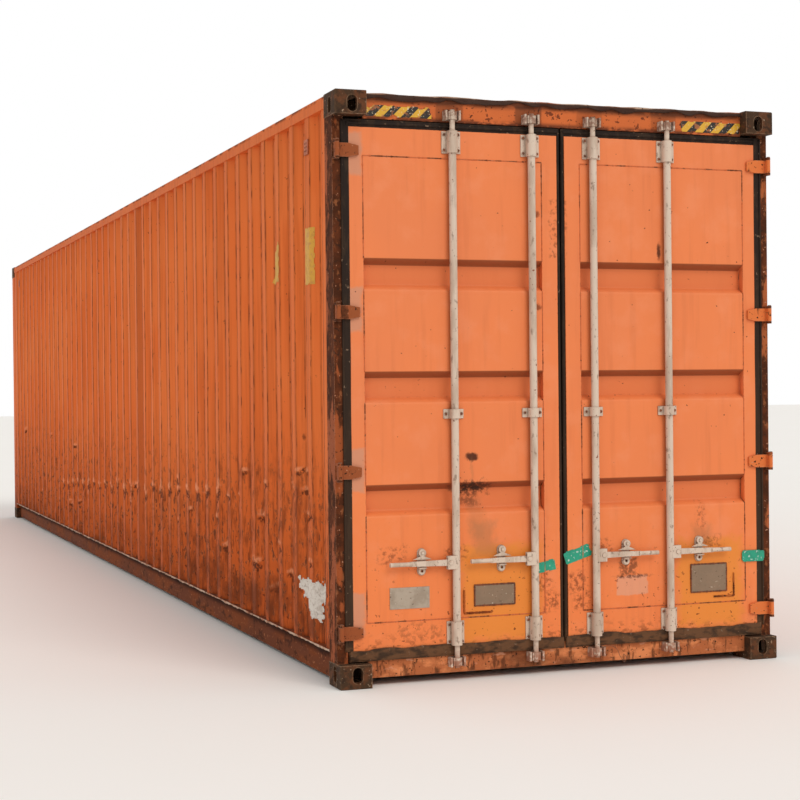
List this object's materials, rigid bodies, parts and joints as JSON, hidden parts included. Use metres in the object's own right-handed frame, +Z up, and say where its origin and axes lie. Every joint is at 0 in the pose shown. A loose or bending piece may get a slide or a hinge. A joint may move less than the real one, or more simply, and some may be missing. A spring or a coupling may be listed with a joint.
{
  "type": "shipping container",
  "caption": "Corrugated steel freight container with two hinged end doors, lock rods, handles and corner castings.",
  "frame": {"origin": "centre of the footprint, at the underside of the lower corner castings", "axes": "+Z up, Y along the length with the doors at -Y, +X to the right when facing the doors"},
  "size_m": [2.438, 12.192, 2.896],
  "materials": {
    "side_paint": "weathered orange-brown paint over steel sheet, with rust",
    "door_paint": "sun-faded orange paint over steel, with rust spots",
    "sill_paint": "worn orange paint over rusting steel",
    "underframe_paint": "dull brown underframe paint with rust",
    "casting_steel": "dark worn cast steel",
    "gear_zinc": "dull galvanised steel with rust stains",
    "bare_steel": "rusted plain steel",
    "gasket_rubber": "black weathered rubber",
    "plate_aluminium": "dull aluminium sheet",
    "floor_plywood": "oiled plywood boards",
    "vent_plastic": "weathered moulded plastic"
  },
  "bodies": {
    "container": {"door_castings": "casting_steel", "front_castings": "casting_steel", "door_post_right": "side_paint", "door_post_left": "side_paint", "front_post_right": "side_paint", "front_post_left": "side_paint", "bottom_rail_right": "underframe_paint", "bottom_rail_left": "underframe_paint", "top_rail_right": "side_paint", "top_rail_left": "side_paint", "side_wall_right": "side_paint", "side_wall_left": "side_paint", "front_wall": "side_paint", "roof": "side_paint", "door_header": "door_paint", "door_sill": "sill_paint", "front_header": "side_paint", "front_sill": "underframe_paint", "roof_end_plates": "side_paint", "floor": "floor_plywood", "cross_members": "underframe_paint", "ventilators": "vent_plastic", "hinge_lugs": "door_paint", "hinge_pins": "bare_steel", "cam_keepers": "gear_zinc"},
    "door_right": {"door_frame_right": "door_paint", "door_panel_right": "door_paint", "door_gasket_right": "gasket_rubber", "hinge_blades_right": "door_paint", "rod_brackets_right": "gear_zinc", "handle_catches_right": "gear_zinc", "blank_plates_right": "plate_aluminium"},
    "rod_inner_right": {"lock_rod_inner_right": "gear_zinc", "handle_inner_right": "gear_zinc"},
    "latch_inner_right": {"latch_inner_right": "gear_zinc"},
    "rod_outer_right": {"lock_rod_outer_right": "gear_zinc", "handle_outer_right": "gear_zinc"},
    "latch_outer_right": {"latch_outer_right": "gear_zinc"},
    "door_left": {"door_frame_left": "door_paint", "door_panel_left": "door_paint", "door_gasket_left": "gasket_rubber", "hinge_blades_left": "door_paint", "rod_brackets_left": "gear_zinc", "handle_catches_left": "gear_zinc", "blank_plates_left": "plate_aluminium"},
    "rod_inner_left": {"lock_rod_inner_left": "gear_zinc", "handle_inner_left": "gear_zinc"},
    "latch_inner_left": {"latch_inner_left": "gear_zinc"},
    "rod_outer_left": {"lock_rod_outer_left": "gear_zinc", "handle_outer_left": "gear_zinc"},
    "latch_outer_left": {"latch_outer_left": "gear_zinc"}
  },
  "joints": [
    {"name": "door_right_swing", "type": "hinge", "parent": "container", "child": "door_right", "pos_m": [1.203, -6.074, 1.448], "axis": [0, 0, 1], "range_deg": [0, 265]},
    {"name": "rod_inner_right_turn", "type": "hinge", "parent": "door_right", "child": "rod_inner_right", "pos_m": [0.172, -6.065, 1.448], "axis": [0, 0, 1], "range_deg": [-100, 0]},
    {"name": "latch_inner_right_swivel", "type": "hinge", "parent": "door_right", "child": "latch_inner_right", "pos_m": [0.35, -6.059, 0.642], "axis": [0, 1, 0], "range_deg": [-110, 0]},
    {"name": "rod_outer_right_turn", "type": "hinge", "parent": "door_right", "child": "rod_outer_right", "pos_m": [0.6, -6.065, 1.448], "axis": [0, 0, 1], "range_deg": [-100, 0]},
    {"name": "latch_outer_right_swivel", "type": "hinge", "parent": "door_right", "child": "latch_outer_right", "pos_m": [0.778, -6.059, 0.642], "axis": [0, 1, 0], "range_deg": [-110, 0]},
    {"name": "door_left_swing", "type": "hinge", "parent": "container", "child": "door_left", "pos_m": [-1.203, -6.074, 1.448], "axis": [0, 0, -1], "range_deg": [0, 265]},
    {"name": "rod_inner_left_turn", "type": "hinge", "parent": "door_left", "child": "rod_inner_left", "pos_m": [-0.172, -6.065, 1.448], "axis": [0, 0, -1], "range_deg": [-100, 0]},
    {"name": "latch_inner_left_swivel", "type": "hinge", "parent": "door_left", "child": "latch_inner_left", "pos_m": [-0.35, -6.059, 0.642], "axis": [0, -1, 0], "range_deg": [-110, 0]},
    {"name": "rod_outer_left_turn", "type": "hinge", "parent": "door_left", "child": "rod_outer_left", "pos_m": [-0.6, -6.065, 1.448], "axis": [0, 0, -1], "range_deg": [-100, 0]},
    {"name": "latch_outer_left_swivel", "type": "hinge", "parent": "door_left", "child": "latch_outer_left", "pos_m": [-0.778, -6.059, 0.642], "axis": [0, -1, 0], "range_deg": [-110, 0]}
  ]
}
